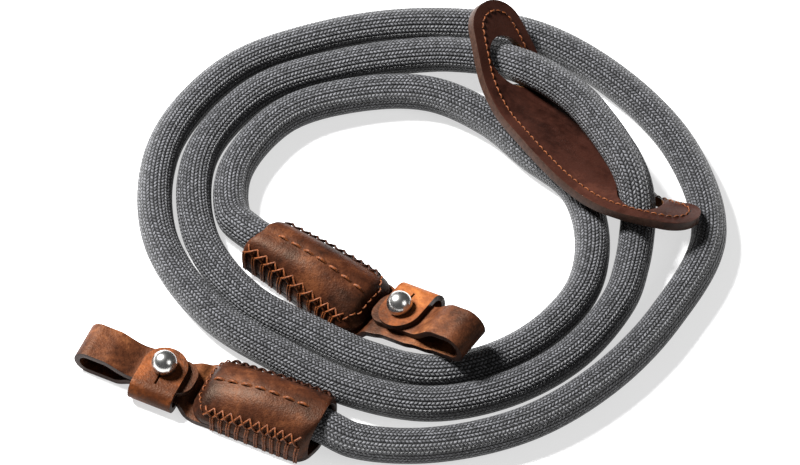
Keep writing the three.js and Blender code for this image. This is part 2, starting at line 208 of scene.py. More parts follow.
# %% [markdown]
# The rope's sheath is braided from grey yarn. On such a sheath the yarns lie in columns along the
# rope, and each column is a stack of short slanted picks that lean the other way from those beside
# it, like a herringbone. The tube carries a UV map that counts picks along the rope and columns
# round it, so plain arithmetic on the UV draws one pick: where a point is in its column, which pick
# it is on, and how high the yarn stands there. Modelling 28,000 picks would cost more than a
# million faces for a relief of a few tenths of a millimetre, so this is bump.

# %% Braid finish
PICK_LENGTH = 1.12          # along the rope
BRAID_COLUMNS = 28          # round the rope
PICK_LEAN = 0.60            # how far a pick leans across its column, in picks
BRAID_WANDER = 0.30         # how far a pick may stray along the rope, in picks
FIBRE_RELIEF = 0.05         # as a share of the yarn's own height
BRAID_RELIEF = 0.66


def crowned(tree, offset, power):
    # 1 in the middle of a pick or a column, where the offset is 0, and 0 at its edges, at -0.5 and 0.5
    outward = calc(tree, "ABSOLUTE", calc(tree, "MULTIPLY", offset, 2.0))
    return calc(tree, "SUBTRACT", 1.0, calc(tree, "POWER", outward, power))


def braid_finish():
    material, tree, shader = start_material("grey_braid")
    uv = add_node(tree, "ShaderNodeUVMap", uv_map="braid").outputs[0]
    split = add_node(tree, "ShaderNodeSeparateXYZ", {0: uv})
    wander = calc(tree, "MULTIPLY", calc(tree, "SUBTRACT", noise(tree, 500.0, 2.0), 0.5), BRAID_WANDER)
    along = calc(tree, "ADD", split.outputs[0], wander)
    column = calc(tree, "FLOOR", split.outputs[1])
    parity = calc(tree, "MODULO", column, 2.0)
    across = calc(tree, "SUBTRACT", calc(tree, "FRACT", split.outputs[1]), 0.5)
    left_or_right = calc(tree, "SUBTRACT", calc(tree, "MULTIPLY", parity, 2.0), 1.0)
    lean = calc(tree, "MULTIPLY", left_or_right, PICK_LEAN)
    slanted = calc(tree, "ADD", along, calc(tree, "MULTIPLY", lean, across))
    slanted = calc(tree, "ADD", slanted, calc(tree, "MULTIPLY", parity, 0.5))
    pick = calc(tree, "FLOOR", slanted)
    within = calc(tree, "SUBTRACT", calc(tree, "FRACT", slanted), 0.5)
    crown = calc(tree, "MULTIPLY", crowned(tree, within, 2.0), crowned(tree, across, 2.2))
    fibres = calc(tree, "SINE", calc(tree, "MULTIPLY", within, 40.0))
    height = calc(tree, "ADD", crown, calc(tree, "MULTIPLY", fibres, FIBRE_RELIEF))

    which = add_node(tree, "ShaderNodeCombineXYZ", {0: pick, 1: column}).outputs[0]
    chance = add_node(tree, "ShaderNodeTexWhiteNoise", {"Vector": which}, noise_dimensions="2D").outputs[0]
    shade = blend(tree, chance, (0.034, 0.0342, 0.0368, 1), (0.100, 0.1005, 0.108, 1))
    # painted shade: the grooves between the picks, where the yarns shade one another, are coloured near black
    painted_gap_shade = blend(tree, ramp(tree, crown, 0.16, 0.70), (0.0012, 0.0012, 0.0013, 1), shade)
    tree.links.new(painted_gap_shade, shader.inputs["Base Color"])
    shader.inputs["Roughness"].default_value = 0.42
    shader.inputs["Specular IOR Level"].default_value = 0.30
    shader.inputs["Sheen Weight"].default_value = 0.03
    shader.inputs["Sheen Roughness"].default_value = 0.5
    bump(tree, shader, height, 1.0, BRAID_RELIEF * MM)
    return material


# %% [markdown]
# The leather is oiled pull-up hide: it goes paler and more orange where it is rubbed or bent, and
# stays dark in the hollows. Two sizes of cloudy noise mix three browns, a third and finer one
# adds the specks, and a fourth gives the creases. A cell pattern, swirled so that no cell is
# straight, gives the pores. All of it reads Object coordinates, so the pattern is as large as on
# the real thing, whatever the mesh is.

# %% Leather finish
LEATHER_SPECULAR = 0.12     # for cut edges and thread too
CREASE_RELIEF = 0.20
PORE_RELIEF = 0.12
PORE_SWIRL = 1.1


def leather_finish(name, dark, middle, pale, roughness=0.48, patch=60.0, pale_from=0.50, grain=1.0):
    material, tree, shader = start_material(name)
    cloud = noise(tree, patch, 5.0, 0.62, 0.6)
    fine = noise(tree, patch * 9, 4.0, 0.7, 0.3)
    speck = noise(tree, 2600.0, 2.0, 0.6)
    mixed = calc(tree, "ADD", calc(tree, "MULTIPLY", cloud, 0.72), calc(tree, "MULTIPLY", fine, 0.28))
    brown = blend(tree, ramp(tree, mixed, 0.36, 0.54), (*dark, 1), (*middle, 1))
    rubbed = blend(tree, ramp(tree, mixed, pale_from, pale_from + 0.16), brown, (*pale, 1))
    speckled = blend(tree, calc(tree, "MULTIPLY", ramp(tree, speck, 0.46, 0.30), 0.55), rubbed, (*dark, 1))
    tree.links.new(speckled, shader.inputs["Base Color"])

    place = add_node(tree, "ShaderNodeTexCoord").outputs["Object"]
    bent = add_node(tree, "ShaderNodeVectorMath", {0: place}, operation="ADD")
    swirl = add_node(tree, "ShaderNodeTexNoise", {"Vector": place, "Scale": 420.0, "Detail": 2.0})
    shifted = add_node(tree, "ShaderNodeVectorMath", {0: swirl.outputs[1]}, operation="SCALE")
    shifted.inputs["Scale"].default_value = PORE_SWIRL * MM
    tree.links.new(shifted.outputs[0], bent.inputs[1])
    pores = add_node(tree, "ShaderNodeTexVoronoi", {"Vector": bent.outputs[0], "Scale": 1700.0}, feature="F1")
    pebble = ramp(tree, pores.outputs["Distance"], 0.15, 0.75)
    crease = noise(tree, 620.0, 6.0, 0.7, 1.2)
    shine = calc(tree, "ADD", roughness - 0.12, calc(tree, "MULTIPLY", fine, 0.26))
    tree.links.new(shine, shader.inputs["Roughness"])
    shader.inputs["Specular IOR Level"].default_value = LEATHER_SPECULAR
    shader.inputs["Specular Tint"].default_value = (1.0, 0.70, 0.50, 1)
    creased = bump(tree, shader, crease, 0.40 * grain, CREASE_RELIEF * MM)
    bump(tree, shader, calc(tree, "SUBTRACT", 1.0, pebble), 0.30 * grain, PORE_RELIEF * MM, below=creased)
    return material


def edge_finish(name, color, roughness=0.42):
    material, tree, shader = start_material(name)
    layers = noise(tree, 900.0, 3.0, 0.6)
    low = tuple(0.62 * part for part in color)
    tone = blend(tree, ramp(tree, layers, 0.32, 0.66), (*low, 1), (*color, 1))
    tree.links.new(tone, shader.inputs["Base Color"])
    shader.inputs["Roughness"].default_value = roughness
    shader.inputs["Specular IOR Level"].default_value = LEATHER_SPECULAR
    bump(tree, shader, layers, 0.25, CREASE_RELIEF * MM)
    return material


# %% [markdown]
# Thread is waxed linen, twisted from two plies, with an oily shine. The studs are polished nickel.

# %% Thread and metal finishes
PLY_RELIEF = 0.15


def thread_finish(name, color):
    material, tree, shader = start_material(name)
    plies = noise(tree, 2400.0, 2.0, 0.5)
    low = tuple(0.35 * part for part in color)
    tone = blend(tree, ramp(tree, plies, 0.35, 0.62), (*low, 1), (*color, 1))
    tree.links.new(tone, shader.inputs["Base Color"])
    shader.inputs["Roughness"].default_value = 0.50
    shader.inputs["Specular IOR Level"].default_value = LEATHER_SPECULAR
    bump(tree, shader, plies, 0.5, PLY_RELIEF * MM)
    return material


def nickel_finish():
    material, tree, shader = start_material("polished_nickel")
    shader.inputs["Base Color"].default_value = (0.52, 0.51, 0.49, 1)
    shader.inputs["Metallic"].default_value = 1.0
    haze = calc(tree, "MULTIPLY", noise(tree, 700.0, 4.0, 0.6), 0.08)
    tree.links.new(calc(tree, "ADD", 0.20, haze), shader.inputs["Roughness"])
    return material


grey_braid = braid_finish()
strap_brown = leather_finish(
    "strap_brown", (0.014, 0.0043, 0.0021), (0.054, 0.0170, 0.0068), (0.135, 0.0495, 0.0185),
)
housing_brown = leather_finish(
    "housing_brown", (0.0075, 0.0023, 0.0012), (0.028, 0.0080, 0.0033), (0.068, 0.0220, 0.0082),
)
keeper_tan = leather_finish(
    "keeper_tan", (0.030, 0.0076, 0.0022), (0.112, 0.0300, 0.0074), (0.205, 0.0670, 0.0165),
)
pad_brown = leather_finish(
    "pad_brown", (0.007, 0.0023, 0.0016), (0.022, 0.0074, 0.0050), (0.042, 0.0145, 0.0092),
    roughness=0.36, patch=35.0, pale_from=0.56, grain=0.35,
)
dark_edge = edge_finish("dark_edge", (0.030, 0.0130, 0.0080))
pad_edge = edge_finish("pad_edge", (0.030, 0.0145, 0.0095))
raw_edge = edge_finish("raw_edge", (0.130, 0.050, 0.014), 0.7)
orange_thread = thread_finish("orange_thread", (0.120, 0.0350, 0.0100))
dark_thread = thread_finish("dark_thread", (0.026, 0.0080, 0.0036))
nickel = nickel_finish()
print("finishes:", len(bpy.data.materials))

# %% [markdown]
# A round rope follows one smooth curve. The same points as in the solid are joined here by a
# centripetal spline, which passes through each of them and doesn't overshoot where they are close
# together. Then the curve is cut into even steps.

# %% Smooth curve through points
def smooth_curve(points, per_span=24):
    vectors = [Vector(point) for point in points]
    ends = [2 * vectors[0] - vectors[1]] + vectors + [2 * vectors[-1] - vectors[-2]]
    curve = []
    for a, b, c, d in zip(ends, ends[1:], ends[2:], ends[3:]):
        ab, bc, cd = (math.sqrt((q - p).length) for p, q in ((a, b), (b, c), (c, d)))
        leave = ((b - a) / ab - (c - a) / (ab + bc) + (c - b) / bc) * bc
        arrive = ((c - b) / bc - (d - b) / (bc + cd) + (d - c) / cd) * bc
        for step in range(per_span):
            t = step / per_span
            cubic = 2 * b - 2 * c + leave + arrive
            square = 3 * c - 3 * b - 2 * leave - arrive
            curve.append(b + leave * t + square * t ** 2 + cubic * t ** 3)
    curve.append(vectors[-1])
    return curve


def lengths_along(curve):
    total = [0.0]
    for p, q in zip(curve, curve[1:]):
        total.append(total[-1] + (q - p).length)
    return total


def even_steps(curve, count):
    total = lengths_along(curve)
    steps = []
    span = 0
    for i in range(count + 1):
        wanted = total[-1] * i / count
        while span + 2 < len(total) and total[span + 1] < wanted:
            span += 1
        share = (wanted - total[span]) / max(total[span + 1] - total[span], 1e-9)
        steps.append(curve[span].lerp(curve[span + 1], min(share, 1.0)))
    return steps


# %% [markdown]
# The route: out of the front housing, the outer turn, the middle turn with the climb over the neck
# pad, the inner turn, and into the second housing. Each turn is given by its distance from the
# coil's centre at sixteen bearings, because a hand-wound coil isn't round.

# %% The rope's route
COIL_CENTRE = Vector((8.7, -4.7, 0.0))
ROPE_RADIUS = 5.0
TURNS = {
    "outer": (
        70.5, 68.7, 68.2, 71.0, 78.0, 76.8, 75.0, 75.2, 73.6, 75.2, 80.4, 81.4, 76.3, 66.9, 58.3, 56.5,
    ),
    "middle": (
        56.8, 56.1, 56.2, 57.0, None, None, None, None, None, 64.1, 69.6, 70.5, 64.8, 55.6, 47.0, 45.2,
    ),
    "inner": (46.3, 45.6, 45.5, 46.1, 45.2, 44.0, 40.3, 43.6, 49.2, 53.2, 58.7, 59.6),
}
OUT_OF_FRONT = [(-33.6, -64.2, 7.0), (-27.3, -67.2, 7.0), (-20.9, -70.2, 6.9), (-12.5, -74.1, 5.6)]
OVER_THE_PAD = [
    (65.0, -14.5, 5.1), (66.4, -6.2, 6.7), (66.9, 0.2, 10.0), (66.0, 6.8, 13.4), (63.8, 12.8, 15.1),
    (60.6, 19.5, 15.1), (56.6, 27.0, 14.6), (50.6, 36.2, 13.7), (42.4, 43.8, 13.2), (33.8, 49.3, 12.3),
    (27.0, 53.0, 10.3), (18.8, 55.7, 8.4), (8.7, 57.4, 6.4),
]
INTO_SECOND = [
    (-46.9, 2.2, 5.3), (-43.2, -3.4, 6.6), (-37.6, -8.3, 7.3), (-29.8, -14.0, 7.7), (-26.2, -16.6, 7.9),
]
FIRST_BEARING = 270         # degrees: the side nearest to the camera
BEARING_STEP = 22.5
PAD_STEP = 4                # from this step on, the middle turn climbs over the pad


def rope_route():
    route = list(OUT_OF_FRONT)
    for turn, distances in TURNS.items():
        for index, distance in enumerate(distances):
            if turn == "middle" and index == PAD_STEP:
                route.extend(OVER_THE_PAD)
            if distance is None:
                continue
            bearing = math.radians(FIRST_BEARING + BEARING_STEP * index)
            around = Vector((math.cos(bearing), math.sin(bearing), 0.0)) * distance
            route.append(COIL_CENTRE + around + Vector((0, 0, ROPE_RADIUS)))
    route.extend(INTO_SECOND)
    return [Vector(point) + LAYOUT_SHIFT for point in route]


rope_curve = smooth_curve(rope_route())
rope_length = lengths_along(rope_curve)[-1]
print("rope length", round(rope_length), "mm")

# %% [markdown]
# A helper turns a list of corners and faces, in millimetres, into an object in metres that rides
# on the strap's one body. Another sweeps a ring along a path. It carries the ring's direction from
# step to step without letting it spin, so the braid's columns run straight along the rope.

# %% Mesh helpers
def make_object(name, corners, faces, materials=(), edges=(), smooth=True):
    mesh = bpy.data.meshes.new(name)
    mesh.from_pydata([tuple(Vector(corner) * MM) for corner in corners], edges, faces)
    for material in materials:
        mesh.materials.append(material)
    if smooth:
        mesh.shade_smooth()
    made = bpy.data.objects.new(name, mesh)
    bpy.context.scene.collection.objects.link(made)
    return made


def sweep_rings(path, radius, sides):
    before = [path[0], *path[:-1]]
    after = [*path[1:], path[-1]]
    tangents = [(q - p).normalized() for p, q in zip(before, after)]
    side = tangents[0].cross(Vector((0, 0, 1))).normalized()
    corners = []
    for point, tangent in zip(path, tangents):
        side = (side - tangent * side.dot(tangent)).normalized()
        up = side.cross(tangent)
        for k in range(sides):
            angle = 2 * math.pi * k / sides
            corners.append(point + (side * math.cos(angle) + up * math.sin(angle)) * radius)
    return corners


def tube_faces(rings, sides):
    faces = []
    for r in range(rings - 1):
        for k in range(sides):
            a = r * sides + k
            b = r * sides + (k + 1) % sides
            faces.append((a, a + sides, b + sides, b))
    return faces


def capped_tube_faces(rings, sides):
    last = (rings - 1) * sides
    caps = [tuple(range(sides)), tuple(last + k for k in reversed(range(sides)))]
    return tube_faces(rings, sides) + caps


def grid_faces(rows, columns):
    # rows and columns of corners, not of faces
    faces = []
    for r in range(rows - 1):
        for c in range(columns - 1):
            corner = r * columns + c
            faces.append((corner, corner + columns, corner + columns + 1, corner + 1))
    return faces


def face_outward(thing):
    work = bmesh.new()
    work.from_mesh(thing.data)
    bmesh.ops.recalc_face_normals(work, faces=work.faces)
    work.to_mesh(thing.data)
    work.free()


# %% The rope
ROPE_STEPS = 1250
ROPE_SIDES = 32


def make_rope():
    path = even_steps(rope_curve, ROPE_STEPS)
    corners = sweep_rings(path, ROPE_RADIUS, ROPE_SIDES)
    rope = make_object("braided_rope", corners, capped_tube_faces(len(path), ROPE_SIDES), [grey_braid])
    picks_per_step = rope_length / ROPE_STEPS / PICK_LENGTH
    columns_per_side = BRAID_COLUMNS / ROPE_SIDES
    layer = rope.data.uv_layers.new(name="braid")
    corner_steps = ((0, 0), (1, 0), (1, 1), (0, 1))
    for index in range(ROPE_STEPS * ROPE_SIDES):
        step, side = divmod(index, ROPE_SIDES)
        for loop, (du, dv) in zip(rope.data.polygons[index].loop_indices, corner_steps):
            layer.data[loop].uv = ((step + du) * picks_per_step, (side + dv) * columns_per_side)
    face_outward(rope)
    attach(rope, "root")
    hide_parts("rope")
    return rope


braided_rope = make_rope()
print("rope faces", len(braided_rope.data.polygons))

# %% [markdown]
# The leather ends lie in a frame of their own: the stud at the origin, +X towards the loop, and
# z = 0 at the underside of the strip. A matrix for each end takes a point from there to the coil.
# The second end climbs over the rope, so it is pitched, and its housing is pitched less.

# %% Frames of the two ends
HOUSING_START = -11.2
HOUSING_END = -48.5
HOUSING_LENGTH = HOUSING_START - HOUSING_END
STRAP_THICKNESS = 1.7
KEEPER_THICKNESS = 1.5
AIR = 0.3
UNDER_KEEPER = KEEPER_THICKNESS + AIR
TONGUE_HEIGHT = UNDER_KEEPER + STRAP_THICKNESS + AIR
KEEPER_TOP = TONGUE_HEIGHT + STRAP_THICKNESS + AIR
STUD_SEAT = KEEPER_TOP + KEEPER_THICKNESS + AIR

ENDS = {
    "front": {
        "foot": (-65.4, -50.7, 0.0), "bearing": 155, "pitch": 0, "housing_pitch": 0, "loop_height": 8.6,
        "housing_aside": -1.2, "loop_aside": 0.7, "mouth_width": 20.8, "mouth_fullness": 1.6, "near": 1,
        "mouth_reach": -2.0, "mouth_lift": 0.0, "near_extra": 0.0,
    },
    "second": {
        "foot": (2.2, -35.9, 5.6), "bearing": -36, "pitch": 18, "housing_pitch": 15.1, "loop_height": 9.8,
        "housing_aside": -0.9, "loop_aside": 0.0, "mouth_width": 16.6, "mouth_fullness": 1.9, "near": -1,
        "mouth_reach": 4.0, "mouth_lift": 2.2, "near_extra": 2.4,
    },
}
HOUSING_WIDTH = 20.8


def end_matrix(end):
    foot = Matrix.Translation(Vector(end["foot"]) + LAYOUT_SHIFT)
    turned = Matrix.Rotation(math.radians(end["bearing"]), 4, "Z")
    return foot @ turned @ Matrix.Rotation(-math.radians(end["pitch"]), 4, "Y")


def housing_matrix(end):
    hinge = Matrix.Translation((HOUSING_START, 0, 0))
    pitched = Matrix.Rotation(math.radians(end["housing_pitch"]), 4, "Y")
    return end_matrix(end) @ hinge @ pitched @ hinge.inverted()


def smooth_step(low, high, value):
    t = min(max((value - low) / (high - low), 0.0), 1.0)
    return t * t * (3 - 2 * t)


def mix(low, high, share):
    return low + (high - low) * share


def rounded_width(width, radius, distance):
    if distance >= radius:
        return width
    return width - radius + math.sqrt(max(radius ** 2 - (radius - distance) ** 2, 0.0))


def pull_mouth(end, point, bend=0.0):
    # the near corner of the housing's mouth reaches back along the rope, and may lift off the floor
    along = HOUSING_START + (point.x - HOUSING_START) / math.cos(bend)
    share = smooth_step(HOUSING_END + 24, HOUSING_END, along) * smooth_step(1, 10, point.y * end["near"])
    pull = Matrix.Rotation(bend, 3, "Y") @ Vector((-end["mouth_reach"], 0, end["mouth_lift"]))
    return point + pull * share


def housing_half_width(end, fraction):
    # fraction: 0 at the housing's mouth, 1 at its loop side
    return mix(end["mouth_width"], HOUSING_WIDTH, smooth_step(0, 0.8, fraction)) / 2


# %% [markdown]
# A leather strip is cut from flat hide, so it is made as a thin sheet first: a grid of points along
# a path and across its width. Solidify then gives it its thickness and puts the edge finish on its
# rim, and Bevel rounds the rim as a burnishing tool does. Working from a sheet keeps the outline
# exact, and the thickness even round a tight fold.

# %% Leather from a sheet
def finish_leather(sheet, thickness, offset, rounding, cutters=()):
    solid = sheet.modifiers.new("thickness", "SOLIDIFY")
    solid.thickness = thickness * MM
    solid.offset = offset
    solid.use_even_offset = True
    solid.material_offset_rim = 1
    for cutter in cutters:
        hole = sheet.modifiers.new("hole", "BOOLEAN")
        hole.object = cutter
        hole.operation = "DIFFERENCE"
        hole.solver = "EXACT"
        hole.material_mode = "TRANSFER"
    edge = sheet.modifiers.new("burnished_edge", "BEVEL")
    edge.width = rounding * MM
    edge.segments = 3
    edge.limit_method = "ANGLE"
    edge.angle_limit = math.radians(50)
    edge.material = 1
    plain = bpy.data.meshes.new_from_object(sheet.evaluated_get(bpy.context.evaluated_depsgraph_get()))
    sheet.modifiers.clear()
    sheet.data = plain
    for cutter in cutters:
        bpy.data.objects.remove(cutter)
    soften(sheet)


def soften(piece, angle=38):
    mesh = piece.data
    mesh.shade_smooth()
    mesh.set_sharp_from_angle(angle=math.radians(angle))


def strip_sheet(name, path, matrix, columns, materials, bend=lambda point: point):
    corners = []
    for a, h, width, aside in path:
        for c in range(columns + 1):
            corners.append(matrix @ bend(Vector((a, aside + mix(-width, width, c / columns), h))))
    return make_object(name, corners, grid_faces(len(path), columns + 1), materials)


# %% [markdown]
# The base, the loop and the tongue are one strip. It starts under the housing, narrows, hops over
# the keeper's hidden lower leg, turns back round the loop, and comes home under the keeper as the
# tongue, whose round end just shows.

# %% End straps
BASE_WIDTH = 20.8
LOOP_STRIP_WIDTH = 11.2
BASE_CORNER = 3.5
LOOP_REACH = 25.0
LOOP_CURL = 1.06            # the loop turns back a little further than half a turn
TONGUE_END = -9.4
TONGUE_CORNER = 4.5
HOP_UP = -10.8, -7.5        # where the strip rises to pass over the keeper's lower leg
HOP_DOWN = 7.5, 12.5        # and where it comes down again
SWERVE = 4, 13              # where it bends aside towards the loop
WIDEN = -11, -4             # where the second end's strip gets its extra width
NARROW = 5, 15              # and where it loses that again


def end_strap_path(end):
    half = STRAP_THICKNESS / 2
    corner = BASE_CORNER
    path = []
    near_end = [0.0, 0.08, 0.25, 0.5, 0.9, 1.4, 2.0, 2.7, corner]
    onward = [corner + (HOUSING_START - HOUSING_END - corner) * k / 20 for k in range(1, 21)]
    beyond = [HOUSING_START - HOUSING_END + 0.55 * k for k in range(1, 46)]
    for distance in near_end + onward + beyond:
        a = HOUSING_END + distance
        narrow = smooth_step(HOUSING_START - 3, -2, a)
        rise = UNDER_KEEPER * (smooth_step(*HOP_UP, a) - smooth_step(*HOP_DOWN, a))
        bend = math.radians(end["housing_pitch"]) if a < HOUSING_START else 0.0
        inward = a - HOUSING_START
        strip_half = mix(BASE_WIDTH, LOOP_STRIP_WIDTH, narrow) / 2
        wide = min(strip_half, housing_half_width(end, distance / HOUSING_LENGTH))
        extra = end["near_extra"] / 2 * (smooth_step(*WIDEN, a) - smooth_step(*NARROW, a))
        aside = end["housing_aside"] * (1 - smooth_step(-17, -4, a))
        aside += end["loop_aside"] * smooth_step(*SWERVE, a)
        path.append((
            HOUSING_START + inward * math.cos(bend) + half * math.sin(bend),
            half * math.cos(bend) + rise - inward * math.sin(bend),
            max(rounded_width(wide, corner, distance), 0.5) + extra,
            aside + end["near"] * extra,
        ))
    radius = end["loop_height"] / 2 - half
    path = [point for point in path if point[0] < LOOP_REACH - half - radius - 0.4]
    for i in range(29):
        angle = -math.pi / 2 + (i / 28) * math.pi * LOOP_CURL
        path.append((
            LOOP_REACH - half - radius + radius * math.cos(angle),
            half + radius + radius * math.sin(angle),
            LOOP_STRIP_WIDTH / 2,
            end["loop_aside"],
        ))
    low, high = TONGUE_HEIGHT + half, end["loop_height"] - half
    straight = [15.8 - 0.6 * k for k in range(36)]
    round_end = [-5.5, -6.2, -6.9, -7.5, -8.0, -8.4, -8.8, -9.1, -9.3, TONGUE_END]
    for a in straight + round_end:
        width = rounded_width(LOOP_STRIP_WIDTH / 2, TONGUE_CORNER, a - TONGUE_END)
        aside = end["loop_aside"] * smooth_step(*SWERVE, a)
        path.append((a, mix(low, high, smooth_step(6.9, 16.5, a)), max(width, 1.0), aside))
    return path


def make_end_strap(prefix, end):
    strip = strip_sheet(
        f"{prefix}_strap_leather", end_strap_path(end), end_matrix(end), 14, [strap_brown, dark_edge],
        bend=lambda point: pull_mouth(end, point, math.radians(end["housing_pitch"])),
    )
    finish_leather(strip, STRAP_THICKNESS, 0.0, 0.42)
    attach(strip, "root")
    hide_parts(f"{prefix}_end_strap")
    return strip


end_straps = {prefix: make_end_strap(prefix, end) for prefix, end in ENDS.items()}
print("end strap faces", {prefix: len(strap.data.polygons) for prefix, strap in end_straps.items()})

# %% [markdown]
# The keeper is a short strap folded round the others, with a round end. The stud passes through an
# eye in it, and a slit lets the leather open over the ball. The eye and the slit are cut with
# Boolean, after the sheet has its thickness and before its edges are rounded.

# %% Keeper tabs
KEEPER_WIDTH = 13.0
KEEPER_TIP = -6.6
FOLD_CENTRE = 6.8
LOWER_LEG_END = -3.0
EYE_RADIUS = 1.5
SLIT_LENGTH = 6.2
SLIT_WIDTH = 0.7
CUT_DEPTH = 3.0             # twice the leather, so that each cut goes right through


def keeper_path():
    half = KEEPER_THICKNESS / 2
    low, high = half, KEEPER_TOP + half
    bend = (high - low) / 2
    radius = KEEPER_WIDTH / 2 - 0.1
    path = []
    tip_steps = [0.0, 0.05, 0.15, 0.35, 0.65, 1.0, 1.5, 2.1, 2.8, 3.6, 4.5, 5.5]
    for distance in tip_steps + [6.6 + 0.8 * k for k in range(9)]:
        width = max(rounded_width(KEEPER_WIDTH / 2, radius, distance), 0.5)
        path.append((KEEPER_TIP + distance, high, width, 0.0))
    for i in range(25):
        angle = math.pi / 2 - (i / 24) * math.pi
        fold = FOLD_CENTRE + bend * math.cos(angle), (low + high) / 2 + bend * math.sin(angle)
        path.append((*fold, KEEPER_WIDTH / 2, 0.0))
    for k in range(1, 9):
        path.append((mix(FOLD_CENTRE, LOWER_LEG_END, k / 8), low, KEEPER_WIDTH / 2, 0.0))
    return path


def round_cutter(name, matrix, radius, depth, sides=40):
    rings = [matrix @ Vector((0, 0, z)) for z in (-depth / 2, depth / 2)]
    corners = sweep_rings(rings, radius, sides)
    cutter = make_object(name, corners, capped_tube_faces(2, sides), [raw_edge], smooth=False)
    face_outward(cutter)
    return cutter


def slit_cutter(name, matrix, length, width, depth):
    corners = [
        matrix @ Vector((x, y, z))
        for x in (0, length)
        for y in (-width / 2, width / 2)
        for z in (-depth / 2, depth / 2)
    ]
    faces = [(0, 1, 3, 2), (4, 6, 7, 5), (0, 4, 5, 1), (2, 3, 7, 6), (0, 2, 6, 4), (1, 5, 7, 3)]
    cutter = make_object(name, corners, faces, [raw_edge], smooth=False)
    face_outward(cutter)
    return cutter


def make_keeper(prefix, end):
    across = end_matrix(end) @ Matrix.Rotation(math.pi / 2, 4, "Z")
    sheet = strip_sheet(f"{prefix}_keeper_leather", keeper_path(), across, 16, [keeper_tan, dark_edge])
    top = across @ Matrix.Translation((0, 0, KEEPER_TOP + KEEPER_THICKNESS / 2))
    eye = round_cutter("eye", top, EYE_RADIUS, CUT_DEPTH, 24)
    slit = slit_cutter("slit", top, SLIT_LENGTH, SLIT_WIDTH, CUT_DEPTH)
    finish_leather(sheet, KEEPER_THICKNESS, 0.0, 0.38, [eye, slit])
    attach(sheet, "root")
    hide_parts(f"{prefix}_keeper_tab")
    return sheet


keepers = {prefix: make_keeper(prefix, end) for prefix, end in ENDS.items()}
print("keeper faces", {prefix: len(keeper.data.polygons) for prefix, keeper in keepers.items()})

# %% [markdown]
# The stud is turned metal, so its profile is spun round its axis: a flat foot, a thin neck and a
# ball that is cut flat below its middle, where it meets the leather.

# %% Studs
STUD_RADIUS = 3.65
STUD_SINK = 0.45            # the ball's centre above its seat, as a share of its radius
NECK_RADIUS = 1.2
FOOT_RADIUS = 2.6
FOOT_HEIGHT = 0.6
STUD_SIDES = 56


def stud_profile():
    centre = STUD_SEAT + STUD_RADIUS * STUD_SINK
    foot_top = UNDER_KEEPER + FOOT_HEIGHT
    profile = [(0.0, UNDER_KEEPER), (FOOT_RADIUS, UNDER_KEEPER), (FOOT_RADIUS, foot_top)]
    profile += [(NECK_RADIUS, foot_top), (NECK_RADIUS, STUD_SEAT)]
    for step in range(29):
        angle = mix(-math.asin(STUD_SINK), math.pi / 2, step / 28)
        profile.append((STUD_RADIUS * math.cos(angle), centre + STUD_RADIUS * math.sin(angle)))
    return profile


def make_stud(prefix, end):
    matrix = end_matrix(end)
    profile = stud_profile()
    inner = profile[1:-1]
    corners = []
    for radius, height in inner:
        for k in range(STUD_SIDES):
            angle = 2 * math.pi * k / STUD_SIDES
            corners.append(matrix @ Vector((radius * math.cos(angle), radius * math.sin(angle), height)))
    faces = tube_faces(len(inner), STUD_SIDES)
    poles = [matrix @ Vector((0, 0, profile[0][1])), matrix @ Vector((0, 0, profile[-1][1]))]
    top_ring = (len(inner) - 1) * STUD_SIDES
    for k in range(STUD_SIDES):
        faces.append((len(corners), (k + 1) % STUD_SIDES, k))
        faces.append((len(corners) + 1, top_ring + k, top_ring + (k + 1) % STUD_SIDES))
    stud = make_object(f"{prefix}_ball_stud", corners + poles, faces, [nickel])
    face_outward(stud)
    soften(stud, 40)
    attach(stud, "root")
    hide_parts(f"{prefix}_stud")
    return stud


studs = {prefix: make_stud(prefix, end) for prefix, end in ENDS.items()}
print("stud faces", {prefix: len(stud.data.polygons) for prefix, stud in studs.items()})

# %% [markdown]
# The housing is a piece of wet-moulded leather: it was pressed over the rope's end while wet, and
# dried in that shape. Across, it is a flat-topped arch. Along, it falls to a flat flange at the loop
# side and stays open at the mouth. A formula gives its outer face, and Solidify adds the wall
# inwards, so the mouth shows the leather's cut edge.

# %% Housings
HOUSING_FLOOR = STRAP_THICKNESS + AIR
MOUTH_HEIGHT = 13.5
LOOP_END_HEIGHT = 9.4
HOUSING_WALL = 1.2
LIP = 1.5
SHOULDER = 8.0


def housing_face(end, along, turn):
    # along: 0 at the mouth, 1 at the loop side. turn: -1 to 1 across, from the -Y side to the +Y side
    left = (1 - along) * HOUSING_LENGTH
    half = housing_half_width(end, along)
    width = min(rounded_width(half, 5.0, left), rounded_width(half, 2.5, along * HOUSING_LENGTH))
    fall = min(1.0, left / SHOULDER)
    fullness = (1 - (1 - fall) ** 2.4) ** (1 / 2.4)
    fullness *= smooth_step(0.0, 3.4, left) ** 0.5
    crown = mix(MOUTH_HEIGHT, LOOP_END_HEIGHT, smooth_step(0.42, 1.0, along))
    top = (crown - HOUSING_FLOOR - LIP) * fullness
    side = math.sin(turn * math.pi / 2)
    fullness_across = mix(end["mouth_fullness"], 1.3, smooth_step(0.1, 0.7, along))
    arch = (1 - min(abs(side), 1.0) ** 2.5) ** (1 / fullness_across)
    across = end["housing_aside"] + side * width
    place = Vector((mix(HOUSING_END, HOUSING_START, along), across, HOUSING_FLOOR + LIP + top * arch))
    return pull_mouth(end, place)


def housing_normal(end, along, turn, step=0.004):
    ahead = housing_face(end, min(along + step, 1.0), turn) - housing_face(end, max(along - step, 0.0), turn)
    left, right = max(turn - step, -0.999), min(turn + step, 0.999)
    aside = housing_face(end, along, right) - housing_face(end, along, left)
    return ahead.cross(aside).normalized()


